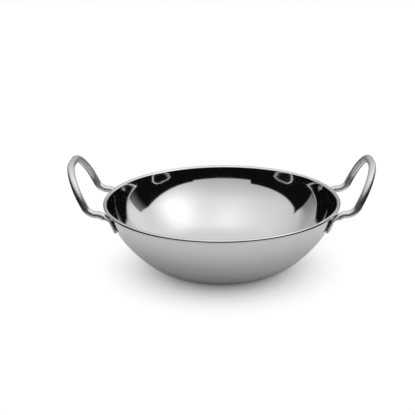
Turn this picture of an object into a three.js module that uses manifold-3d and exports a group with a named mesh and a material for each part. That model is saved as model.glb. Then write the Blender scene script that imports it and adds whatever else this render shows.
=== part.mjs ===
// A balti dish: one bowl pressed and spun from stainless steel sheet, with a flat base and a rolled edge,
// and two bent wire handles. Each handle ends in two flattened feet, and two spot welds hold each foot to
// the bowl's wall. Millimetres and degrees, +Z up. The origin is the centre of the flat base, and the
// handles lie along X.
import * as THREE from "three";
import { mergeVertices } from "three/addons/utils/BufferGeometryUtils.js";
import Module from "manifold-3d";

// Bowl sizes
const RIM_DIAMETER = 150; // over the rolled edge
const BOWL_HEIGHT = 44.7; // from the base to the top of the rolled edge
const BASE_DIAMETER = 54; // the flat that the dish stands on
const KNUCKLE_RADIUS = 36.7; // outside of the curve between base and wall
const KNUCKLE_ANGLE = 41; // slope of the wall where that curve ends
const WALL_TURN = 1.15; // how far the wall turns from there to the lip, where a single arc would turn 1
const LIP_ANGLE = 47; // slope of the lip, which leads outwards from the wall to the rolled edge
const LIP_LENGTH = 0.15; // straight part of the lip, below the rolled edge
const LIP_BEND_RADIUS = 1.2; // outside of the bend between wall and lip
const SHEET = 0.8; // thickness of the steel
const BEAD_DIAMETER = 2.6; // rolled edge, turned outwards

// Handle sizes, along the centre of the wire
const WIRE_DIAMETER = 4.5;
const FOOT_DROP = 9.8; // middle of a foot, below the top of the rim
const FOOT_REACH = 4; // from there down to the foot's end
const FOOT_BEND_RADIUS = 7.5;
const RUN_RISE = 4; // slope of the run from the wall out to the loop
const RUN_STRAIGHT = 0.8;
const LOOP_BEND_RADIUS = 8;
const LOOP_LEAN = 25.4; // lean of the loop, away from the bowl
const LEG_STRAIGHT = 3.3;
const SHOULDER_RADIUS = 21;
const CROWN_STRAIGHT = 9;
const RIM_CLEARANCE = 0.3; // between the wire and the rolled edge that it passes under

// Flattened feet and their welds
const FOOT_THICKNESS = 1.6;
const FOOT_WIDTH = 8.4;
const FOOT_SQUARENESS = 4; // exponent of the foot's rounded oblong section
const WELD_DIAMETER = 2.6;
const WELD_PITCH = 3.6;
const WELD_COVER = 0.5; // steel left between a weld's socket and the outside of the foot
const SEAT_CLEARANCE = 0.3; // between the wall, the feet and the welds

// Fineness of the round forms
const BOWL_SIDES = 72;
const ARC_DIVISIONS = 4; // two steps each, along every arc of the bowl's section
const WIRE_SIDES = 12;
const BEND_STEPS = 7;
const FOOT_STEPS = 5;
const WELD_SIDES = 12;
const WELD_STEPS = 4;

const radians = THREE.MathUtils.degToRad;
const QUARTER_TURN = Math.PI / 2;

const bowlSteel = new THREE.MeshStandardMaterial({ color: 0xd4d4d6, roughness: 0.08, metalness: 1 });
const wireSteel = new THREE.MeshStandardMaterial({ color: 0xc4c4c7, roughness: 0.2, metalness: 1 });
const weldSteel = new THREE.MeshStandardMaterial({ color: 0x9d9a96, roughness: 0.5, metalness: 1 });

// Solids

const wasm = await Module();
wasm.setup();

function toSolid(geometry) {
  const bare = new THREE.BufferGeometry();
  const loose = geometry.index ? geometry.toNonIndexed() : geometry;
  bare.setAttribute("position", loose.getAttribute("position").clone());
  const merged = mergeVertices(bare, 1e-4);
  return new wasm.Manifold(
    new wasm.Mesh({
      numProp: 3,
      vertProperties: new Float32Array(merged.getAttribute("position").array),
      triVerts: new Uint32Array(merged.index.array),
    }),
  );
}

function toGeometry(solid) {
  const mesh = solid.getMesh();
  const geometry = new THREE.BufferGeometry();
  geometry.setAttribute("position", new THREE.BufferAttribute(mesh.vertProperties, mesh.numProp));
  geometry.setIndex(new THREE.BufferAttribute(mesh.triVerts, 1));
  geometry.computeVertexNormals();
  return geometry;
}

// Section of the bowl, as (radius, height). A wall that climbs at some slope faces outwards along
// facing(slope).

const facing = (slope) => new THREE.Vector2(Math.sin(slope), -Math.cos(slope));
const climbing = (slope) => new THREE.Vector2(Math.cos(slope), Math.sin(slope));
const knuckleSlope = radians(KNUCKLE_ANGLE);
const knuckleCentre = new THREE.Vector2(BASE_DIAMETER / 2, KNUCKLE_RADIUS);
const wallStart = knuckleCentre.clone().addScaledVector(facing(knuckleSlope), KNUCKLE_RADIUS);

// The inside of the lip touches the bead, and its outside ends in the bead.
const lipSlope = radians(LIP_ANGLE);
const beadRadius = BEAD_DIAMETER / 2;
const beadOffset = beadRadius - SHEET;
const beadCentre = new THREE.Vector2(RIM_DIAMETER / 2 - beadRadius, BOWL_HEIGHT - beadRadius);
const lipInBead = Math.sqrt(beadRadius ** 2 - beadOffset ** 2);
const lipTop = beadCentre
  .clone()
  .addScaledVector(facing(lipSlope), -beadOffset)
  .addScaledVector(climbing(lipSlope), -lipInBead);
const lipStart = lipTop.clone().addScaledVector(climbing(lipSlope), -LIP_LENGTH);
const lipBendCentre = lipStart.clone().addScaledVector(facing(lipSlope), LIP_BEND_RADIUS);
const chordSlope = lipStart.clone().sub(wallStart).angle();
const rimSlope = knuckleSlope + WALL_TURN * 2 * (chordSlope - knuckleSlope);
const wallEnd = lipBendCentre.clone().addScaledVector(facing(rimSlope), -LIP_BEND_RADIUS);

// The wall is two arcs that run into each other smoothly: a flatter one, the flank, and a tighter one above
// it. Each arc's end tangents are equally long, up to the corner where they cross.
const reach = wallEnd.clone().sub(wallStart);
const bothEnds = climbing(knuckleSlope).add(climbing(rimSlope));
const alongEnds = reach.dot(bothEnds);
const opening = 1 - climbing(knuckleSlope).dot(climbing(rimSlope));
const toCorner = (Math.sqrt(alongEnds ** 2 + 2 * opening * reach.lengthSq()) - alongEnds) / (2 * opening);
const middleSlope = reach.addScaledVector(bothEnds, -toCorner).angle();
const flankRadius = toCorner / Math.tan((middleSlope - knuckleSlope) / 2);
const flankCentre = wallStart.clone().addScaledVector(facing(knuckleSlope), -flankRadius);
const flankTop = flankCentre.clone().addScaledVector(facing(middleSlope), flankRadius);
const upperRadius = toCorner / Math.tan((rimSlope - middleSlope) / 2);
const upperCentre = wallEnd.clone().addScaledVector(facing(rimSlope), -upperRadius);

function makeBowl() {
  const turn = (slope) => slope - QUARTER_TURN; // an arc's own angle where the wall has this slope
  const lipTurn = (slope) => slope + QUARTER_TURN; // the same for the bend into the lip and the bead
  const beadStart = lipTop.clone().sub(beadCentre).angle() - 2 * Math.PI;
  const innerBend = LIP_BEND_RADIUS + SHEET;
  const section = new THREE.Path();
  section.moveTo(0, 0);
  section.lineTo(knuckleCentre.x, 0);
  section.absarc(...knuckleCentre, KNUCKLE_RADIUS, turn(0), turn(knuckleSlope), false);
  section.absarc(...flankCentre, flankRadius, turn(knuckleSlope), turn(middleSlope), false);
  section.absarc(...upperCentre, upperRadius, turn(middleSlope), turn(rimSlope), false);
  section.absarc(...lipBendCentre, LIP_BEND_RADIUS, lipTurn(rimSlope), lipTurn(lipSlope), true);
  section.absarc(...beadCentre, beadRadius, beadStart, lipTurn(lipSlope), false);
  section.absarc(...lipBendCentre, innerBend, lipTurn(lipSlope), lipTurn(rimSlope), false);
  section.absarc(...upperCentre, upperRadius - SHEET, turn(rimSlope), turn(middleSlope), true);
  section.absarc(...flankCentre, flankRadius - SHEET, turn(middleSlope), turn(knuckleSlope), true);
  section.absarc(...knuckleCentre, KNUCKLE_RADIUS - SHEET, turn(knuckleSlope), turn(0), true);
  section.lineTo(0, SHEET);
  const turned = new THREE.LatheGeometry(section.getPoints(ARC_DIVISIONS), BOWL_SIDES);
  return toGeometry(toSolid(turned.rotateX(QUARTER_TURN)));
}

// Place of a foot. The legs and the feet of a handle are bent in two upright planes. A foot lies along the
// wall, and its side that faces the wall keeps the seat clearance from it.

const wireRadius = WIRE_DIAMETER / 2;
const legOffset = CROWN_STRAIGHT / 2 + SHOULDER_RADIUS; // from the handle's middle to the plane of a leg
const footHeight = BOWL_HEIGHT - FOOT_DROP;
const onFlank = footHeight < flankTop.y;
const [footArcCentre, footArcRadius] = onFlank ? [flankCentre, flankRadius] : [upperCentre, upperRadius];
const footSlope = Math.acos((footArcCentre.y - footHeight) / footArcRadius);
const footFacing = facing(footSlope);
const toFootSeat = footArcRadius + SEAT_CLEARANCE + wireRadius;
const footSeat = footArcCentre.clone().addScaledVector(footFacing, toFootSeat);
const footAzimuth = Math.asin(legOffset / footSeat.x);

function atFootAzimuth(radius, height) {
  return new THREE.Vector3(radius * Math.cos(footAzimuth), radius * Math.sin(footAzimuth), height);
}

const offWall = atFootAzimuth(footFacing.x, footFacing.y);
const footMiddle = atFootAzimuth(footSeat.x, footSeat.y);
const footUp = new THREE.Vector3(-offWall.z, 0, offWall.x).normalize();
const footEnd = footMiddle.clone().addScaledVector(footUp, -FOOT_REACH);

// The bend above a foot starts where it takes the wire past the bead at the rim clearance. The bead's
// centre and the bend's centre, which moves along the foot, are this far apart in the plane of the leg.

const pastBead = FOOT_BEND_RADIUS + wireRadius + RIM_CLEARANCE + beadRadius;
const beadReach = Math.sqrt(beadCentre.x ** 2 - legOffset ** 2);
const beadInLegPlane = new THREE.Vector3(beadReach, legOffset, beadCentre.y);
const awayFromFoot = new THREE.Vector3(footUp.z, 0, -footUp.x);
const fromBead = footMiddle.clone().addScaledVector(awayFromFoot, FOOT_BEND_RADIUS).sub(beadInLegPlane);
const level = fromBead.dot(footUp);
const bendStart = -level - Math.sqrt(level ** 2 - fromBead.lengthSq() + pastBead ** 2);

// Half of the handle's centre line, from the end of one foot to the middle of the crown, as straights and
// bends

const upright = (angle) => new THREE.Vector3(Math.cos(angle), 0, Math.sin(angle));

function centreLine() {
  const points = [footEnd];
  let heading = footUp;

  function straight(length, steps = 1) {
    const start = points.at(-1);
    for (let step = 1; step <= steps; step++) {
      points.push(start.clone().addScaledVector(heading, (length * step) / steps));
    }
  }

  function bend(radius, newHeading) {
    const axis = new THREE.Vector3().crossVectors(heading, newHeading).normalize();
    const spoke = new THREE.Vector3().crossVectors(heading, axis).multiplyScalar(radius);
    const centre = points.at(-1).clone().sub(spoke);
    const angle = heading.angleTo(newHeading);
    for (let step = 1; step <= BEND_STEPS; step++) {
      points.push(spoke.clone().applyAxisAngle(axis, (angle * step) / BEND_STEPS).add(centre));
    }
    heading = newHeading;
  }

  straight(FOOT_REACH + bendStart, FOOT_STEPS);
  bend(FOOT_BEND_RADIUS, upright(radians(RUN_RISE)));
  straight(RUN_STRAIGHT);
  bend(LOOP_BEND_RADIUS, upright(QUARTER_TURN - radians(LOOP_LEAN)));
  straight(LEG_STRAIGHT);
  bend(SHOULDER_RADIUS, new THREE.Vector3(0, -1, 0));
  straight(CROWN_STRAIGHT / 2);
  return points;
}

// Section of the wire at a flatness from 0, round, to 1, a foot. The side towards the wall stays where it
// is and the outer side is pressed in.

function wireSection(flatness) {
  const oblong = (value) => Math.sign(value) * Math.abs(value) ** (2 / FOOT_SQUARENESS);
  return Array.from({ length: WIRE_SIDES }, (_, side) => {
    const angle = ((side + 0.5) / WIRE_SIDES) * 2 * Math.PI;
    const [out, along] = [Math.cos(angle), Math.sin(angle)];
    const pressedOut = ((oblong(out) + 1) * FOOT_THICKNESS) / 2 - wireRadius;
    const pressedAlong = (oblong(along) * FOOT_WIDTH) / 2;
    return new THREE.Vector2(
      THREE.MathUtils.lerp(out * wireRadius, pressedOut, flatness),
      THREE.MathUtils.lerp(along * wireRadius, pressedAlong, flatness),
    );
  });
}

// The wire's rings of points along half of the handle. Each ring is carried on from the last without
// twisting. The section turns from flat to round between the last step of the foot and the middle of the
// bend above it.

function wireRings() {
  const line = centreLine();
  const intoCrown = new THREE.Vector3(0, -1, 0);
  let out = offWall;
  let tangent = footUp;
  return line.map((point, index) => {
    const behind = line[index - 1] ?? point;
    const ahead = line[index + 1]?.clone() ?? point.clone().add(intoCrown);
    const next = ahead.sub(behind).normalize();
    out = out.clone().applyQuaternion(new THREE.Quaternion().setFromUnitVectors(tangent, next));
    tangent = next;
    const side = new THREE.Vector3().crossVectors(tangent, out);
    const flatness = 1 - THREE.MathUtils.smoothstep(index, FOOT_STEPS - 1, FOOT_STEPS + BEND_STEPS / 2);
    return wireSection(flatness).map((p) =>
      point.clone().addScaledVector(out, p.x).addScaledVector(side, p.y),
    );
  });
}

// One wire from foot to foot: half of it and that half's reflection, which share the ring at the crown.

function makeWire() {
  const rings = wireRings();
  const corners = [];
  const face = (a, b, c) => corners.push(a, b, c);
  const last = WIRE_SIDES - 1;
  for (let k = 1; k < last; k++) face(rings[0][0], rings[0][k + 1], rings[0][k]);
  for (let ring = 1; ring < rings.length; ring++) {
    for (let k = 0; k < WIRE_SIDES; k++) {
      const [low, high, next] = [rings[ring - 1], rings[ring], (k + 1) % WIRE_SIDES];
      face(low[k], low[next], high[next]);
      face(low[k], high[next], high[k]);
    }
  }
  const acrossMiddle = corners.map((p) => new THREE.Vector3(p.x, -p.y, p.z)).reverse();
  return new THREE.BufferGeometry().setFromPoints([...corners, ...acrossMiddle]);
}

// A weld is a low dome, whose flat face looks at the wall. The foot has a socket of the same shape round
// it, which reaches out of the foot towards the wall.

function domeGeometry(radius, height, skirt = 0) {
  const section = [new THREE.Vector2(0, -skirt), new THREE.Vector2(radius, -skirt)];
  if (skirt > 0) section.push(new THREE.Vector2(radius, 0));
  for (let step = 1; step < WELD_STEPS; step++) {
    const angle = (step / WELD_STEPS) * QUARTER_TURN;
    section.push(new THREE.Vector2(radius * Math.cos(angle), height * Math.sin(angle)));
  }
  section.push(new THREE.Vector2(0, height));
  return new THREE.LatheGeometry(section, WELD_SIDES);
}

const weldRadius = WELD_DIAMETER / 2;
const socketHeight = FOOT_THICKNESS - WELD_COVER;
const makeWeld = () => toGeometry(toSolid(domeGeometry(weldRadius, socketHeight - SEAT_CLEARANCE)));
const makeSocket = () => toSolid(domeGeometry(weldRadius + SEAT_CLEARANCE, socketHeight, SEAT_CLEARANCE));

const WELD_PLACES = [
  { name: "lower", along: -WELD_PITCH / 2 },
  { name: "upper", along: WELD_PITCH / 2 },
];

// A weld's place on the foot at one side, +1 or -1 along Y, as a matrix that turns the dome's axis off the
// wall
function weldMatrix(along, side) {
  const seat = footMiddle.clone().addScaledVector(footUp, along).addScaledVector(offWall, -wireRadius);
  const axis = offWall.clone();
  seat.y *= side;
  axis.y *= side;
  const turn = new THREE.Quaternion().setFromUnitVectors(new THREE.Vector3(0, 1, 0), axis);
  return new THREE.Matrix4().compose(seat, turn, new THREE.Vector3(1, 1, 1));
}

function makeHandleGeometry() {
  let wire = toSolid(makeWire());
  const socket = makeSocket();
  for (const side of [1, -1]) {
    for (const place of WELD_PLACES) {
      wire = wire.subtract(socket.transform(weldMatrix(place.along, side).toArray()));
    }
  }
  return toGeometry(wire);
}

// Assembly

function named(name, geometry, material) {
  const mesh = new THREE.Mesh(geometry, material);
  mesh.name = name;
  return mesh;
}

// A handle stands at +X in its own group. Half a turn about Z takes the group to the left of the bowl.
function makeHandleGroup(sideName, turn, footNames) {
  const group = new THREE.Group();
  group.rotation.z = turn;
  group.add(named(`handle_${sideName}`, makeHandleGeometry(), wireSteel));
  for (const [side, footName] of footNames) {
    for (const place of WELD_PLACES) {
      const weld = named(`spot_weld_${sideName}_${footName}_${place.name}`, makeWeld(), weldSteel);
      weldMatrix(place.along, side).decompose(weld.position, weld.quaternion, weld.scale);
      group.add(weld);
    }
  }
  return group;
}

const dish = new THREE.Group();
dish.add(named("bowl", makeBowl(), bowlSteel));
dish.add(makeHandleGroup("right", 0, [[-1, "front"], [1, "rear"]]));
dish.add(makeHandleGroup("left", Math.PI, [[1, "front"], [-1, "rear"]]));

export default dish;
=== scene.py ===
import math

import bpy
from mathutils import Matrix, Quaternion, Vector


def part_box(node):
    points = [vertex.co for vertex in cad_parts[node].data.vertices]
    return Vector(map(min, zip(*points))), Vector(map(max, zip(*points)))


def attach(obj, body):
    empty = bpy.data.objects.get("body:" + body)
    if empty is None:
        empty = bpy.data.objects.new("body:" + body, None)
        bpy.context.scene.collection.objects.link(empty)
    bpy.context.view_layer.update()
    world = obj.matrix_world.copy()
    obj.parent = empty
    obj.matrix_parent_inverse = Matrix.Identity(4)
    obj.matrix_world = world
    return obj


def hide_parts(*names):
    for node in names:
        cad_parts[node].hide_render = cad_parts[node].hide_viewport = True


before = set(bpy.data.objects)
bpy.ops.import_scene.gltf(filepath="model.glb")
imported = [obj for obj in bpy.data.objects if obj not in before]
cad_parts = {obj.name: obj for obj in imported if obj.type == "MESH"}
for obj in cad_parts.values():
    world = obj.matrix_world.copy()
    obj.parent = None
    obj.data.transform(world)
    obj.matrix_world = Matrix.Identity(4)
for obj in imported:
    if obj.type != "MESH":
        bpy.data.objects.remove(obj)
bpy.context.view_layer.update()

MM = 0.001

# Bowl sizes
_, bowl_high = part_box("bowl")
BOWL_HEIGHT = bowl_high.z
RIM_RADIUS = bowl_high.x
BASE_RADIUS = 27 * MM
KNUCKLE_RADIUS = 36.7 * MM
KNUCKLE_SLOPE = math.radians(41)
WALL_SLOPE = math.radians(75.4)  # of the straight top of the wall
WALL_STRAIGHT = 4 * MM
LIP_SLOPE = math.radians(47)
LIP_LENGTH = 0.5 * MM
LIP_BEND_RADIUS = 0.6 * MM
SHEET = 0.5 * MM
BEAD_RADIUS = 1.05 * MM
CURL_GAP = 0.2 * MM  # between the free end of the rolled edge and the wall
CURL_DEPTH = 0.5 * MM

# Handle sizes, along the centre of the wire
WIRE_RADIUS = 2.25 * MM
FOOT_DROP = 9.8 * MM  # middle of a foot, below the top of the rim
FOOT_REACH = 4 * MM  # from there down to the foot's end
FOOT_BEND_RADIUS = 7.5 * MM
RUN_RISE = math.radians(4)
RUN_STRAIGHT = 0.4 * MM
LOOP_BEND_RADIUS = 8 * MM
LOOP_LEAN = math.radians(25.4)
LEG_STRAIGHT = 2.8 * MM
SHOULDER_RADIUS = 21 * MM
CROWN_STRAIGHT = 9 * MM
RIM_CLEARANCE = 0.15 * MM
SOLID_BEAD_RADIUS = 1.3 * MM  # the rolled edge of the solids, which the wire is bent round
FOOT_THICKNESS = 1.6 * MM
FOOT_WIDTH = 8.4 * MM
FOOT_SQUARENESS = 4
FOOT_EDGE = 0.3 * MM  # rounding of the foot's cut end
FOOT_STEPS = 5  # the solids' steps along a foot and its bend, over which the wire turns round
BEND_STEPS = 7
SEAT_CLEARANCE = 0.05 * MM

# Spot welds
WELD_RADIUS = 1.3 * MM
WELD_PITCH = 3.6 * MM
WELD_HEIGHT = 0.8 * MM
FLASH_RADIUS = 1.7 * MM  # thin ring of steel squeezed out round the fused spot
MARK_RADIUS = 1.25 * MM  # dent that the electrode leaves on the outside of the foot
MARK_DEPTH = 0.2 * MM
MARK_LIP = 0.05 * MM
MARK_EDGE = 0.4 * MM
MARK_FLATNESS = 0.8  # the wire is dented where it is pressed at least this flat

# Fineness
BOWL_SIDES = 288
ARC_STEP = 0.7 * MM
FLAT_STEP = 2.8 * MM
BEAD_STEPS = 36
LIP_STEPS = 10
STRAIGHT_STEPS = 6
WIRE_SIDES = 72
FOOT_STEP = 0.25 * MM
BEND_STEP = math.radians(2.5)
FOOT_EDGE_STEPS = 4
OUTLINE_TRACE = 40  # points traced round the foot's section for each one kept
WELD_SIDES = 32
DOME_STEPS = 8
FLOOR_SIDES = 96
SHARP_ANGLE = math.radians(35)  # faces that meet at more than this show an edge

# Camera, fitted to the rim, the outline and the handles in the photograph
IMAGE_SIZE = 415
CAMERA_DISTANCE = 0.56
CAMERA_ELEVATION = math.radians(18.55)
CAMERA_AZIMUTH = math.radians(1.07)
CAMERA_ROLL = math.radians(-0.403)
CAMERA_FOCAL_PIXELS = 879.7
RIM_CENTRE_PIXEL = (221.76, 198.84)
RIM_CENTRE_DROP = 0.6 * MM  # below the top of the rim
SENSOR_WIDTH = 36


# Node graphs

class Graph:
    """Adds nodes to a shader tree. Every call gives back the socket that the next node takes."""

    def __init__(self, tree):
        self.tree = tree
        tree.nodes.clear()

    def add(self, kind, inputs=None, output=0, **settings):
        made = self.tree.nodes.new("ShaderNode" + kind)
        for name, value in settings.items():
            setattr(made, name, value)
        for socket, value in (inputs or {}).items():
            if isinstance(value, bpy.types.NodeSocket):
                self.tree.links.new(value, made.inputs[socket])
            else:
                made.inputs[socket].default_value = value
        return made.outputs[output]

    def finish(self, kind, surface):
        made = self.tree.nodes.new("ShaderNode" + kind)
        self.tree.links.new(surface, made.inputs["Surface"])

    def math(self, operation, *values):
        return self.add("Math", dict(enumerate(values)), operation=operation)

    def step(self, value, low, high):
        """0 below low and 1 above high, with a smooth change between them."""
        sockets = {"Value": value, "From Min": low, "From Max": high}
        return self.add("MapRange", sockets, interpolation_type="SMOOTHSTEP")

    def spread(self, value, low, high):
        """A value from 0 to 1 stretched to run from low to high."""
        return self.add("MapRange", {"Value": value, "To Min": low, "To Max": high})

    def share(self, value, low, high):
        """Runs evenly from 0 to 1 as the value runs from low to high."""
        return self.add("MapRange", {"Value": value, "From Min": low, "From Max": high})

    def blend(self, share, first, second):
        return self.add("Mix", {"Factor": share, "A": first, "B": second})

    def tint(self, share, first, second):
        sockets = {"Factor": share, "A": first, "B": second}
        return self.add("Mix", sockets, output="Result", data_type="RGBA")

    def vector(self, x, y, z):
        return self.add("CombineXYZ", {"X": x, "Y": y, "Z": z})

    def axes(self, vector):
        parts = self.tree.nodes.new("ShaderNodeSeparateXYZ")
        self.tree.links.new(vector, parts.inputs[0])
        return parts.outputs["X"], parts.outputs["Y"], parts.outputs["Z"]

    def scaled(self, vector, scale):
        return self.add("VectorMath", {0: vector, 1: scale}, operation="MULTIPLY")

    def noise(self, vector, scale, detail=2.0):
        return self.add("TexNoise", {"Vector": vector, "Scale": scale, "Detail": detail})


def new_material(name):
    material = bpy.data.materials.new(name)
    material.use_nodes = True
    return material, Graph(material.node_tree)


# Materials. Noise scales are in waves per metre.

HAIRLINES_ALONG_X = (90, 2600, 1900)
HAIRLINES_ALONG_Y = (2300, 110, 1700)
HAIRLINE_SOFTNESS = 0.06

BOWL_COLOURS = ((0.655, 0.655, 0.66, 1), (0.70, 0.698, 0.70, 1))
OUTSIDE_ROUGHNESS = (0.10, 0.16)
OUTSIDE_BUMP = 0.25
INSIDE_ROUGHNESS = (0.035, 0.07)
INSIDE_BUMP = 0.06
BOWL_CLOUDS = 42.0
BOWL_PATCHES = (0.42, 0.72)  # values of the clouds over which a patch gets dull
BOWL_HAIRLINES = 0.27  # density, more lines with a higher value
BOWL_HAIRLINE_ROUGHNESS = 0.03
RING_SCALE = 4200
RING_ROUGHNESS = 0.02
RING_DEPTH = 0.004 * MM

WIRE_COLOURS = ((0.64, 0.64, 0.65, 1), (0.72, 0.72, 0.73, 1))
WIRE_ROUGHNESS = (0.31, 0.38)
WIRE_CLOUDS = 160.0
WIRE_HAIRLINES = 0.3
WIRE_HAIRLINE_ROUGHNESS = 0.02
DRAW_LINES = (35, 2600, 0)
DRAW_LINE_BUMP = 0.12
DRAW_LINE_DEPTH = 0.006 * MM
# Dark grey that the feet are tinted towards: heat tint together with painted shade for the dark reflections
# on the feet.
HEAT_TINT_AND_SHADE_COLOUR = (0.19, 0.187, 0.185, 1)
HEAT_TINT_AND_SHADE_SHARE = 0.9
HEAT_ROUGHNESS = 0.12

WELD_COLOURS = ((0.36, 0.34, 0.31, 1), (0.50, 0.47, 0.42, 1))
WELD_ROUGHNESS = (0.35, 0.6)
WELD_GRAIN = 3200.0
WELD_STAIN = 700.0
WELD_BUMP = 0.6
WELD_GRAIN_DEPTH = 0.04 * MM


def scratches(graph, place, density):
    """Fine hairlines in two directions, 1 on a line and 0 elsewhere."""
    along_x = graph.noise(graph.scaled(place, HAIRLINES_ALONG_X), 1.0)
    along_y = graph.noise(graph.scaled(place, HAIRLINES_ALONG_Y), 1.0)
    lines = graph.math("MAXIMUM", along_x, along_y)
    return graph.step(lines, 1 - density, 1 - density + HAIRLINE_SOFTNESS)


def polish_rings(graph, place):
    """Fine rings round the bowl's axis, as turning and buffing leave them."""
    x, y, z = graph.axes(place)
    squares = graph.math("ADD", graph.math("MULTIPLY", x, x), graph.math("MULTIPLY", y, y))
    radius = graph.math("SQRT", squares)
    along_wall = graph.math("MULTIPLY", graph.math("ADD", radius, z), RING_SCALE)
    around_x = graph.math("DIVIDE", x, graph.math("MAXIMUM", radius, MM))
    around_y = graph.math("DIVIDE", y, graph.math("MAXIMUM", radius, MM))
    return graph.noise(graph.vector(along_wall, around_x, around_y), 1.0, 3.0)


def steel_surface(graph, colour, roughness, height, strength, depth):
    """Bare steel with a fine relief."""
    bump = graph.add("Bump", {"Height": height, "Strength": strength, "Distance": depth})
    steel = {"Base Color": colour, "Metallic": 1.0, "Roughness": roughness, "Normal": bump}
    graph.finish("OutputMaterial", graph.add("BsdfPrincipled", steel))


def bowl_material(name, roughness_range, bump_strength):
    """Polished stainless sheet: faint buffing rings, hairlines and a few cloudy patches."""
    material, graph = new_material(name)
    place = graph.add("TexCoord", output="Object")
    rings = polish_rings(graph, place)
    hairlines = scratches(graph, place, BOWL_HAIRLINES)
    clouds = graph.noise(place, BOWL_CLOUDS, 4.0)
    roughness = graph.spread(graph.step(clouds, *BOWL_PATCHES), *roughness_range)
    roughness = graph.math("MULTIPLY_ADD", rings, RING_ROUGHNESS, roughness)
    roughness = graph.math("MULTIPLY_ADD", hairlines, BOWL_HAIRLINE_ROUGHNESS, roughness)
    colour = graph.tint(clouds, *BOWL_COLOURS)
    height = graph.math("SUBTRACT", rings, hairlines)
    steel_surface(graph, colour, roughness, height, bump_strength, RING_DEPTH)
    return material


def wire_material():
    """Drawn and polished wire, with draw lines along it. The feet are duller from the heat, and darker by a
    colour that is heat tint together with painted shade standing in for their dark reflections.
    """
    material, graph = new_material("wire_steel")
    along = graph.add("UVMap", uv_map="along_wire")
    heat = graph.add("Attribute", attribute_name="heat", output="Fac")
    draw_lines = graph.noise(graph.scaled(along, DRAW_LINES), 1.0, 3.0)
    place = graph.add("TexCoord", output="Object")
    hairlines = scratches(graph, place, WIRE_HAIRLINES)
    clouds = graph.noise(place, WIRE_CLOUDS, 3.0)
    roughness = graph.spread(draw_lines, *WIRE_ROUGHNESS)
    roughness = graph.math("MULTIPLY_ADD", hairlines, WIRE_HAIRLINE_ROUGHNESS, roughness)
    roughness = graph.math("MULTIPLY_ADD", heat, HEAT_ROUGHNESS, roughness)
    bright = graph.tint(clouds, *WIRE_COLOURS)
    # Painted shade: the feet and the bends above them darken towards a dark grey, which is heat tint
    # together with painted shade for their dark reflections.
    colour = graph.tint(graph.math("MULTIPLY", heat, HEAT_TINT_AND_SHADE_SHARE), bright, HEAT_TINT_AND_SHADE_COLOUR)
    steel_surface(graph, colour, roughness, draw_lines, DRAW_LINE_BUMP, DRAW_LINE_DEPTH)
    return material


def weld_material():
    """Fused steel, dull and grainy, with a straw tint from the heat."""
    material, graph = new_material("weld_steel")
    place = graph.add("TexCoord", output="Object")
    grain = graph.noise(place, WELD_GRAIN, 4.0)
    stain = graph.noise(place, WELD_STAIN, 2.0)
    colour = graph.tint(stain, *WELD_COLOURS)
    roughness = graph.spread(grain, *WELD_ROUGHNESS)
    steel_surface(graph, colour, roughness, grain, WELD_BUMP, WELD_GRAIN_DEPTH)
    return material


# Mesh helpers

def new_piece(name, points, faces, materials):
    mesh = bpy.data.meshes.new(name)
    mesh.from_pydata(points, [], faces)
    mesh.validate()
    mesh.shade_smooth()
    mesh.set_sharp_from_angle(angle=SHARP_ANGLE)
    for material in materials:
        mesh.materials.append(material)
    piece = bpy.data.objects.new(name, mesh)
    bpy.context.scene.collection.objects.link(piece)
    return piece


def dress(piece, slot, *nodes):
    """Sets the piece in the frame, in place of the solids that it shows in full detail."""
    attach(piece, "root")
    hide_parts(*nodes)


def arc(centre, radius, start, end, steps):
    """Points of an arc after its first one. Angles are from the radial axis towards +Z."""
    angles = (start + (end - start) * step / steps for step in range(1, steps + 1))
    return [centre + radius * Vector((math.cos(a), math.sin(a))) for a in angles]


def line(start, end, steps):
    return [start.lerp(end, step / steps) for step in range(1, steps + 1)]


def turns(count):
    """Angles of one full turn in equal steps."""
    return [2 * math.pi * step / count for step in range(count)]


def revolve(section, sides):
    """Points and faces of a section turned round Z. Its first and last point lie on the axis."""
    points = [Vector((0, 0, section[0].y))]
    for radius, height in section[1:-1]:
        for angle in turns(sides):
            points.append(Vector((radius * math.cos(angle), radius * math.sin(angle), height)))
    points.append(Vector((0, 0, section[-1].y)))
    faces = []
    top = len(points) - 1
    last = 1 + (len(section) - 3) * sides
    for side in range(sides):
        following = (side + 1) % sides
        faces.append((0, 1 + following, 1 + side))
        for ring in range(len(section) - 3):
            low = 1 + ring * sides
            high = low + sides
            faces.append((low + side, low + following, high + following, high + side))
        faces.append((last + side, last + following, top))
    return points, faces


# Section of the bowl, as (radius, height). A wall that climbs at some slope faces outwards along
# facing(slope).

def facing(slope):
    return Vector((math.sin(slope), -math.cos(slope)))


def climbing(slope):
    return Vector((math.cos(slope), math.sin(slope)))


flat_steps = math.ceil(BASE_RADIUS / FLAT_STEP)
knuckle_centre = Vector((BASE_RADIUS, KNUCKLE_RADIUS))
wall_start = knuckle_centre + facing(KNUCKLE_SLOPE) * KNUCKLE_RADIUS

# The inside of the lip runs off the rolled edge without a corner, and the wall is straight below its bend.
bead_centre = Vector((RIM_RADIUS - BEAD_RADIUS, BOWL_HEIGHT - BEAD_RADIUS))
lip_top = bead_centre - facing(LIP_SLOPE) * BEAD_RADIUS
lip_bottom = lip_top - climbing(LIP_SLOPE) * LIP_LENGTH
lip_bend_centre = lip_bottom + facing(LIP_SLOPE) * (LIP_BEND_RADIUS + SHEET)
wall_top = lip_bend_centre - facing(WALL_SLOPE) * LIP_BEND_RADIUS
wall_end = wall_top - climbing(WALL_SLOPE) * WALL_STRAIGHT

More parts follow.
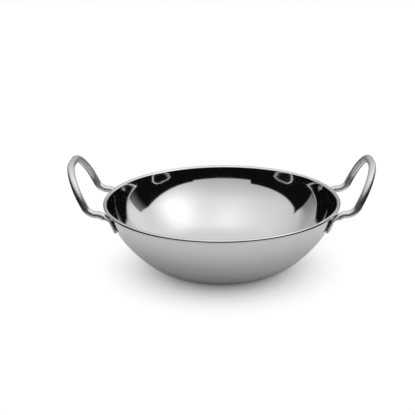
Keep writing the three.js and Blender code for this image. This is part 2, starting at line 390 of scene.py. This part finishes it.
# The wall is two arcs with equally long end tangents: a flatter one, the flank, and a tighter one above it.
reach = wall_end - wall_start
both_ends = climbing(KNUCKLE_SLOPE) + climbing(WALL_SLOPE)
along_ends = reach.dot(both_ends)
opening = 1 - climbing(KNUCKLE_SLOPE).dot(climbing(WALL_SLOPE))
to_corner = (math.sqrt(along_ends**2 + 2 * opening * reach.length_squared) - along_ends) / (2 * opening)
middle = reach - both_ends * to_corner
middle_slope = math.atan2(middle.y, middle.x)
flank_radius = to_corner / math.tan((middle_slope - KNUCKLE_SLOPE) / 2)
flank_centre = wall_start - facing(KNUCKLE_SLOPE) * flank_radius
upper_radius = to_corner / math.tan((WALL_SLOPE - middle_slope) / 2)
upper_centre = wall_end - facing(WALL_SLOPE) * upper_radius


def slope_arc(centre, radius, start, end):
    """An arc of the wall from one slope to another."""
    steps = math.ceil(abs(end - start) * radius / ARC_STEP)
    return arc(centre, radius, start - math.pi / 2, end - math.pi / 2, steps)


def lip_bend(radius, start, end):
    """The bend between wall and lip, whose centre lies outside the bowl."""
    return arc(lip_bend_centre, radius, start + math.pi / 2, end + math.pi / 2, LIP_STEPS)


def outer_section():
    """From the middle of the base up the outside to the crease under the rolled edge."""
    points = [Vector((0, 0))]
    points += line(points[-1], Vector((BASE_RADIUS, 0)), flat_steps)
    points += slope_arc(knuckle_centre, KNUCKLE_RADIUS, 0, KNUCKLE_SLOPE)
    points += slope_arc(flank_centre, flank_radius, KNUCKLE_SLOPE, middle_slope)
    points += slope_arc(upper_centre, upper_radius, middle_slope, WALL_SLOPE)
    points += line(points[-1], wall_top, STRAIGHT_STEPS)
    points += lip_bend(LIP_BEND_RADIUS, WALL_SLOPE, LIP_SLOPE)
    return [point for point in points if (point - bead_centre).length > BEAD_RADIUS]


def rim_section(crease):
    """The slit behind the rolled edge, and the edge itself over to the inside of the lip."""
    to_crease = crease - bead_centre
    start = math.atan2(to_crease.y, to_crease.x) + CURL_GAP / BEAD_RADIUS
    slit = bead_centre + to_crease.normalized() * (BEAD_RADIUS - CURL_DEPTH)
    curl = bead_centre + BEAD_RADIUS * Vector((math.cos(start), math.sin(start)))
    return [slit, curl] + arc(bead_centre, BEAD_RADIUS, start, LIP_SLOPE + math.pi / 2, BEAD_STEPS)


def inner_section():
    """From the rolled edge down the inside to the middle of the floor."""
    points = [lip_bottom]
    points += lip_bend(LIP_BEND_RADIUS + SHEET, LIP_SLOPE, WALL_SLOPE)
    points += line(points[-1], wall_end - facing(WALL_SLOPE) * SHEET, STRAIGHT_STEPS)
    points += slope_arc(upper_centre, upper_radius - SHEET, WALL_SLOPE, middle_slope)
    points += slope_arc(flank_centre, flank_radius - SHEET, middle_slope, KNUCKLE_SLOPE)
    points += slope_arc(knuckle_centre, KNUCKLE_RADIUS - SHEET, KNUCKLE_SLOPE, 0)
    points += line(points[-1], Vector((0, SHEET)), flat_steps)
    return points


def make_bowl():
    outer = outer_section()
    rim = rim_section(outer[-1])
    section = outer + rim + inner_section()
    points, faces = revolve(section, BOWL_SIDES)
    outside = bowl_material("bowl_outside_steel", OUTSIDE_ROUGHNESS, OUTSIDE_BUMP)
    inside = bowl_material("bowl_inside_steel", INSIDE_ROUGHNESS, INSIDE_BUMP)
    bowl = new_piece("bowl_shell", points, faces, [outside, inside])
    inside_start = 1 + (len(outer) + len(rim) // 2) * BOWL_SIDES
    for face in bowl.data.polygons:
        face.material_index = int(min(face.vertices) >= inside_start)
    dress(bowl, "bowl_steel", "bowl")


# Place of a foot. The legs and the feet of a handle are bent in two upright planes.

leg_offset = CROWN_STRAIGHT / 2 + SHOULDER_RADIUS
foot_slope = math.acos((upper_centre.y - BOWL_HEIGHT + FOOT_DROP) / upper_radius)
foot_facing = facing(foot_slope)
foot_seat = upper_centre + foot_facing * (upper_radius + SEAT_CLEARANCE + WIRE_RADIUS)
foot_azimuth = math.asin(leg_offset / foot_seat.x)


def at_foot_azimuth(radius, height):
    return Vector((radius * math.cos(foot_azimuth), radius * math.sin(foot_azimuth), height))


off_wall = at_foot_azimuth(foot_facing.x, foot_facing.y)
foot_middle = at_foot_azimuth(foot_seat.x, foot_seat.y)
foot_up = Vector((-off_wall.z, 0, off_wall.x)).normalized()
away_from_foot = Vector((foot_up.z, 0, -foot_up.x))

# The bend above a foot starts where it takes the wire past the rolled edge at the rim clearance.
past_bead = FOOT_BEND_RADIUS + WIRE_RADIUS + RIM_CLEARANCE + SOLID_BEAD_RADIUS
solid_bead = RIM_RADIUS - SOLID_BEAD_RADIUS
bead_level = BOWL_HEIGHT - SOLID_BEAD_RADIUS
bead_in_leg_plane = Vector((math.sqrt(solid_bead**2 - leg_offset**2), leg_offset, bead_level))
from_bead = foot_middle + away_from_foot * FOOT_BEND_RADIUS - bead_in_leg_plane
level = from_bead.dot(foot_up)
bend_start = -level - math.sqrt(level**2 - from_bead.length_squared + past_bead**2)


def smooth(value, low, high):
    share = min(max((value - low) / (high - low), 0), 1)
    return share * share * (3 - 2 * share)


def flatness_at(step):
    """How flat the wire is pressed, by the solids' steps along a foot and the bend above it."""
    return 1 - smooth(step, FOOT_STEPS - 1, FOOT_STEPS + BEND_STEPS / 2)


class Wire:
    """Half of a handle's centre line, bent up from straights and bends. Each stop along it is its point,
    its heading and how flat the wire is pressed there."""

    def __init__(self, start, heading):
        self.stops = [(start, heading, 1.0)]

    def straight(self, length, steps=1, first_step=FOOT_STEPS + BEND_STEPS):
        start, heading, _ = self.stops[-1]
        for step in range(1, steps + 1):
            share = step / steps
            flatness = flatness_at(first_step + FOOT_STEPS * share)
            self.stops.append((start + heading * (length * share), heading, flatness))

    def bend(self, radius, new_heading, first_step=FOOT_STEPS + BEND_STEPS):
        start, heading, _ = self.stops[-1]
        axis = heading.cross(new_heading).normalized()
        spoke = heading.cross(axis) * radius
        angle = heading.angle(new_heading)
        steps = math.ceil(angle / BEND_STEP)
        for step in range(1, steps + 1):
            share = step / steps
            turn = Quaternion(axis, angle * share)
            flatness = flatness_at(first_step + BEND_STEPS * share)
            self.stops.append((start - spoke + turn @ spoke, turn @ heading, flatness))


def upright(angle):
    return Vector((math.cos(angle), 0, math.sin(angle)))


def bent_wire():
    wire = Wire(foot_middle - foot_up * FOOT_REACH, foot_up)
    foot_length = FOOT_REACH + bend_start
    wire.straight(foot_length, math.ceil(foot_length / FOOT_STEP), first_step=0)
    wire.bend(FOOT_BEND_RADIUS, upright(RUN_RISE), first_step=FOOT_STEPS)
    wire.straight(RUN_STRAIGHT)
    wire.bend(LOOP_BEND_RADIUS, upright(math.pi / 2 - LOOP_LEAN))
    wire.straight(LEG_STRAIGHT)
    wire.bend(SHOULDER_RADIUS, Vector((0, -1, 0)))
    wire.straight(CROWN_STRAIGHT / 2)
    return wire.stops


def foot_outline():
    """The foot's rounded oblong section as (out, along), with its points spread evenly along it."""
    fine = OUTLINE_TRACE * WIRE_SIDES
    power = 2 / FOOT_SQUARENESS

    def oblong(angle):
        out, along = math.cos(angle), math.sin(angle)
        out = math.copysign(abs(out) ** power, out) * FOOT_THICKNESS / 2
        along = math.copysign(abs(along) ** power, along) * FOOT_WIDTH / 2
        return Vector((out + FOOT_THICKNESS / 2 - WIRE_RADIUS, along))

    traced = [oblong(2 * math.pi * k / fine) for k in range(fine + 1)]
    lengths = [0.0]
    for before, after in zip(traced, traced[1:]):
        lengths.append(lengths[-1] + (after - before).length)
    outline = []
    place = 0
    for side in range(WIRE_SIDES):
        wanted = lengths[-1] * side / WIRE_SIDES
        while lengths[place + 1] < wanted:
            place += 1
        outline.append(traced[place])
    return outline


FLAT_SECTION = foot_outline()
ROUND_SECTION = [WIRE_RADIUS * Vector((math.cos(a), math.sin(a))) for a in turns(WIRE_SIDES)]


def weld_mark(point, along_foot):
    """How far the electrodes have pressed in the outer face of the foot at a point of its section."""
    if point.x < FOOT_THICKNESS - WIRE_RADIUS - MARK_EDGE:
        return 0.0
    depth = 0.0
    for weld in (-WELD_PITCH / 2, WELD_PITCH / 2):
        distance = math.hypot(along_foot - weld, point.y)
        dent = 1 - smooth(distance, MARK_RADIUS - MARK_EDGE, MARK_RADIUS)
        lip = math.exp(-(((distance - MARK_RADIUS - MARK_EDGE / 2) / (MARK_EDGE / 2)) ** 2))
        depth += dent * MARK_DEPTH - lip * MARK_LIP
    return depth


def wire_rings(stops):
    """Rings of points along half of the handle, carried on from ring to ring without twisting."""
    rings = []
    out = off_wall
    tangent = foot_up
    travelled = -FOOT_REACH
    before = stops[0][0]
    for point, heading, flatness in stops:
        out = tangent.rotation_difference(heading) @ out
        tangent = heading
        side = tangent.cross(out)
        travelled += (point - before).length
        before = point
        ring = []
        for round_point, flat_point in zip(ROUND_SECTION, FLAT_SECTION):
            place = round_point.lerp(flat_point, flatness)
            if flatness > MARK_FLATNESS:
                place.x -= weld_mark(flat_point, travelled)
            ring.append(point + out * place.x + side * place.y)
        rings.append(ring)
    return rings


def end_rings(ring, heading):
    """The rounded edge of a foot's cut end, from the middle of the cut outwards."""
    middle = sum(ring, Vector()) / len(ring)
    made = []
    for step in range(FOOT_EDGE_STEPS):
        angle = math.pi / 2 * step / FOOT_EDGE_STEPS
        inset = 1 - FOOT_EDGE * (1 - math.sin(angle)) / (FOOT_THICKNESS / 2)
        shift = heading * (FOOT_EDGE * (1 - math.cos(angle)))
        made.append([middle + (p - middle) * inset + shift for p in ring])
    return made


def make_handle(name, node, turn, material):
    stops = bent_wire()
    rings = wire_rings(stops)
    edge = end_rings(rings[0], foot_up)
    first = next(i for i, stop in enumerate(stops) if (stop[0] - stops[0][0]).length > FOOT_EDGE)
    half = edge + rings[first:]
    # Share of heat tint and painted shade at each ring: 1 on the feet, fading to 0 where the wire is round.
    heat_and_shade_shares = [1.0] * len(edge) + [stop[2] for stop in stops[first:]]
    mirrored = [[Vector((p.x, -p.y, p.z)) for p in ring] for ring in reversed(half[:-1])]
    turned = Quaternion((0, 0, 1), turn)
    whole = half + mirrored
    heat_and_shade_shares += heat_and_shade_shares[-2::-1]
    points = [turned @ p for ring in whole for p in ring]
    faces = [tuple(reversed(range(WIRE_SIDES)))]
    for ring in range(len(whole) - 1):
        low = ring * WIRE_SIDES
        high = low + WIRE_SIDES
        for side in range(WIRE_SIDES):
            following = (side + 1) % WIRE_SIDES
            faces.append((low + side, low + following, high + following, high + side))
    faces.append(tuple(range(len(points) - WIRE_SIDES, len(points))))
    handle = new_piece(name, points, faces, [material])
    # Point attribute that carries this share of heat tint and painted shade to the wire's material.
    heat = handle.data.attributes.new("heat", "FLOAT", "POINT")
    heat.data.foreach_set("value", [h for h in heat_and_shade_shares for _ in range(WIRE_SIDES)])
    lay_along_wire(handle.data, whole)
    dress(handle, "wire_steel", node)


def lay_along_wire(mesh, rings):
    """UV coordinates in metres: the way along the wire and the way round it."""
    ways = [0.0]
    for before, after in zip(rings, rings[1:]):
        ways.append(ways[-1] + (sum(after, Vector()) - sum(before, Vector())).length / WIRE_SIDES)
    layer = mesh.uv_layers.new(name="along_wire")
    girth = 2 * math.pi * WIRE_RADIUS
    for face in mesh.polygons:
        sides = [mesh.loops[k].vertex_index % WIRE_SIDES for k in face.loop_indices]
        wraps = max(sides) - min(sides) == WIRE_SIDES - 1
        for loop, side in zip(face.loop_indices, sides):
            ring = mesh.loops[loop].vertex_index // WIRE_SIDES
            around = side + WIRE_SIDES if wraps and side == 0 else side
            layer.data[loop].uv = (ways[ring], girth * around / WIRE_SIDES)


def make_weld(node, along, side, turn, material):
    """The fused spot between a foot and the wall, with a thin ring of squeezed-out steel round it."""
    flash = SEAT_CLEARANCE / 2
    section = [Vector((0, -SEAT_CLEARANCE)), Vector((WELD_RADIUS, -SEAT_CLEARANCE))]
    section += [Vector((FLASH_RADIUS, -SEAT_CLEARANCE + flash / 2)), Vector((FLASH_RADIUS, -flash / 2))]
    section += [Vector((WELD_RADIUS, 0))]
    dome = arc(Vector((0, 0)), 1, 0, math.pi / 2, DOME_STEPS)
    section += [Vector((p.x * WELD_RADIUS, p.y * WELD_HEIGHT)) for p in dome[:-1]]
    section += [Vector((0, WELD_HEIGHT))]
    points, faces = revolve(section, WELD_SIDES)
    seat = foot_middle + foot_up * along - off_wall * WIRE_RADIUS
    axis = off_wall.copy()
    seat.y *= side
    axis.y *= side
    tilt = Vector((0, 0, 1)).rotation_difference(axis)
    turned = Quaternion((0, 0, 1), turn)
    placed = [turned @ (seat + tilt @ p) for p in points]
    weld = new_piece(node.replace("spot_weld", "weld_nugget"), placed, faces, [material])
    dress(weld, "weld_steel", node)


def make_handles():
    wire_steel = wire_material()
    weld_steel = weld_material()
    for name, turn, feet in (("right", 0, ("rear", "front")), ("left", math.pi, ("front", "rear"))):
        make_handle(f"wire_handle_{name}", f"handle_{name}", turn, wire_steel)
        for foot, side in zip(feet, (1, -1)):
            for place, along in (("lower", -WELD_PITCH / 2), ("upper", WELD_PITCH / 2)):
                make_weld(f"spot_weld_{name}_{foot}_{place}", along, side, turn, weld_steel)


# Studio: a white tent over the dish, open and dark at the front below the tent's edge. Azimuths and
# elevations are in degrees, with azimuth 0 at the front and 90 at the right. The azimuths of LEFT_SIDE and
# LEFT_SHADE count from the front to the left instead.

FLOOR_RADIUS = 0.125
FLOOR_FADE = (0.02, 0.085)  # from the floor's own shading to the plain white background
FLOOR_COLOUR = (0.96, 0.96, 0.963, 1)
TENT_RISE = (15, 60)  # elevations over which the tent gets lighter upwards
TENT_LIGHT = (0.74, 1.14)
LAMPS = (  # azimuth, elevation, tightness and strength of each lamp behind the tent
    (80, 48, 16.0, 0.85),
    (128, 18, 14.0, 0.48),
    (52, 33, 14.0, 0.26),
    (-20, 76, 16.0, 0.45),
    (-95, 34, 8.0, 0.13),
)
LOW_BAND = (2, 14)  # elevations over which the tent gets lighter above the floor
LOW_BAND_LIGHT = 0.4
DARK_LEVEL = 0.007
FRONT_EDGE = 21.2  # elevation of the tent's edge over the dark opening, at the front
LEFT_EDGE = (27.0, 33.0)  # and at the sides, from beside the front part to the end of the opening
RIGHT_EDGE = (23.0, 29.6)
EDGE_SOFTNESS = 1.2
FRONT_PART = (-32, 33)  # azimuths between which the edge is as low as at the front
FRONT_PART_SOFTNESS = 1
LEFT_SIDE = (108.3, 110.8)  # azimuths over which the dark opening ends at the left
RIGHT_SIDE = (102, 116)  # azimuths of the grey panel at its right end, which gets lighter outwards
RIGHT_PANEL_END = (116, 118.5)
RIGHT_PANEL_LIGHT = 0.25
RIGHT_PANEL_DROP = 3.5  # how far the tent's edge comes down over that panel
LEFT_SHADE_START = (107, 111)  # azimuths over which the shade on the left of the tent sets in
LEFT_SHADE_FADE = (109, 142)  # and over which it gets lighter again
LEFT_SHADE_TOP = (31, 21)  # elevations over which it sets in downwards
LEFT_SHADE_DEPTH = (0.56, 0.04)  # where it starts and where it has faded


def tent_direction(azimuth, elevation):
    """Unit vector towards a place on the tent."""
    a, e = math.radians(azimuth), math.radians(elevation)
    return (math.sin(a) * math.cos(e), -math.cos(a) * math.cos(e), math.sin(e))


def glow(graph, ray, azimuth, elevation, tightness, strength):
    """A lamp shining through the tent: a soft round patch of light."""
    directions = {0: ray, 1: tent_direction(azimuth, elevation)}
    towards = graph.add("VectorMath", directions, output="Value", operation="DOT_PRODUCT")
    lobe = graph.math("POWER", graph.math("MAXIMUM", towards, 0.0), tightness)
    return graph.math("MULTIPLY", lobe, strength)


def tent_light(graph, ray, elevation):
    """Brightness of the tent in each direction."""
    light = graph.spread(graph.step(elevation, *TENT_RISE), *TENT_LIGHT)
    for lamp in LAMPS:
        light = graph.math("ADD", light, glow(graph, ray, *lamp))
    return light


def edge_elevation(graph, azimuth):
    """Elevation of the tent's lower edge above the dark opening."""
    left_end, right_end = FRONT_PART
    along_left = graph.share(azimuth, left_end, -LEFT_SIDE[0])
    left = graph.spread(graph.math("POWER", along_left, 2.0), *LEFT_EDGE)
    right = graph.spread(graph.step(azimuth, right_end, RIGHT_SIDE[0]), *RIGHT_EDGE)
    drop = graph.math("MULTIPLY", graph.step(azimuth, *RIGHT_SIDE), RIGHT_PANEL_DROP)
    right = graph.math("SUBTRACT", right, drop)
    beside_left = graph.step(azimuth, left_end + FRONT_PART_SOFTNESS, left_end - FRONT_PART_SOFTNESS)
    beside_right = graph.step(azimuth, right_end - FRONT_PART_SOFTNESS, right_end + FRONT_PART_SOFTNESS)
    edge = graph.blend(beside_left, FRONT_EDGE, left)
    return graph.blend(beside_right, edge, right)


def dark_front(graph, azimuth, elevation):
    """1 inside the dark opening at the front of the tent, less on the grey panel and 0 outside."""
    above = graph.math("SUBTRACT", elevation, edge_elevation(graph, azimuth))
    under_edge = graph.step(above, EDGE_SOFTNESS, -EDGE_SOFTNESS)
    panel = graph.math("MULTIPLY", graph.step(azimuth, *RIGHT_SIDE), RIGHT_PANEL_LIGHT)
    panel = graph.math("SUBTRACT", 1.0, panel)
    right = graph.math("MULTIPLY", panel, graph.step(azimuth, *reversed(RIGHT_PANEL_END)))
    left = graph.step(azimuth, -LEFT_SIDE[1], -LEFT_SIDE[0])
    return graph.math("MULTIPLY", under_edge, graph.math("MULTIPLY", right, left))


def left_shade(graph, azimuth, elevation):
    """1 on the whole tent but for its left side, which is darker low down."""
    starts = graph.step(azimuth, *(-a for a in LEFT_SHADE_START))
    fades = graph.step(azimuth, *(-a for a in LEFT_SHADE_FADE))
    at_left = graph.math("MULTIPLY", graph.step(elevation, *LEFT_SHADE_TOP), starts)
    shade = graph.math("MULTIPLY", at_left, graph.spread(fades, *LEFT_SHADE_DEPTH))
    return graph.math("SUBTRACT", 1.0, shade)


def make_world():
    world = bpy.data.worlds.new("studio")
    bpy.context.scene.world = world
    world.use_nodes = True
    graph = Graph(world.node_tree)
    ray = graph.add("TexCoord", output="Generated")
    x, y, z = graph.axes(ray)
    azimuth = graph.math("DEGREES", graph.math("ARCTAN2", x, graph.math("MULTIPLY", y, -1.0)))
    elevation = graph.math("DEGREES", graph.math("ARCSINE", z))
    bright = tent_light(graph, ray, elevation)
    bright = graph.math("MULTIPLY", bright, left_shade(graph, azimuth, elevation))
    low_light = graph.spread(graph.step(elevation, *LOW_BAND), LOW_BAND_LIGHT, 1.0)
    bright = graph.math("MULTIPLY", bright, low_light)
    closed = graph.math("SUBTRACT", 1.0, dark_front(graph, azimuth, elevation))
    lit = graph.math("MULTIPLY", bright, closed)
    studio = graph.add("Background", {"Strength": graph.math("ADD", lit, DARK_LEVEL)})
    white = graph.add("Background", {"Color": (1, 1, 1, 1), "Strength": 1.0})
    seen = graph.add("LightPath", output="Is Camera Ray")
    graph.finish("OutputWorld", graph.add("MixShader", {0: seen, 1: studio, 2: white}))


def make_floor():
    """A pale floor with the dish's shadow, which runs out into the white background."""
    material, graph = new_material("pale_floor")
    place = graph.add("TexCoord", output="Object")
    distance = graph.add("VectorMath", {0: place}, output="Value", operation="LENGTH")
    away = graph.step(distance, *FLOOR_FADE)
    seen = graph.add("LightPath", output="Is Camera Ray")
    cloth = graph.add("BsdfDiffuse", {"Color": FLOOR_COLOUR})
    white = graph.add("Emission", {"Color": (1, 1, 1, 1), "Strength": 1.0})
    surface = graph.add("MixShader", {0: graph.math("MULTIPLY", away, seen), 1: cloth, 2: white})
    graph.finish("OutputMaterial", surface)
    edge = [(FLOOR_RADIUS * math.cos(a), FLOOR_RADIUS * math.sin(a), 0) for a in turns(FLOOR_SIDES)]
    floor = new_piece("floor", edge, [tuple(range(FLOOR_SIDES))], [material])


def make_camera():
    data = bpy.data.cameras.new("camera")
    camera = bpy.data.objects.new("camera", data)
    bpy.context.scene.collection.objects.link(camera)
    back = Vector((
        math.sin(CAMERA_AZIMUTH) * math.cos(CAMERA_ELEVATION),
        -math.cos(CAMERA_AZIMUTH) * math.cos(CAMERA_ELEVATION),
        math.sin(CAMERA_ELEVATION),
    ))
    camera.location = Vector((0, 0, BOWL_HEIGHT - RIM_CENTRE_DROP)) + back * CAMERA_DISTANCE
    camera.rotation_mode = "QUATERNION"
    camera.rotation_quaternion = back.to_track_quat("Z", "Y") @ Quaternion((0, 0, 1), CAMERA_ROLL)
    data.sensor_width = SENSOR_WIDTH
    data.lens = CAMERA_FOCAL_PIXELS / IMAGE_SIZE * SENSOR_WIDTH
    data.shift_x = (IMAGE_SIZE / 2 - RIM_CENTRE_PIXEL[0]) / IMAGE_SIZE
    data.shift_y = (RIM_CENTRE_PIXEL[1] - IMAGE_SIZE / 2) / IMAGE_SIZE
    bpy.context.scene.camera = camera


bpy.context.scene.view_settings.view_transform = "Standard"
make_bowl()
make_handles()
make_floor()
make_world()
make_camera()
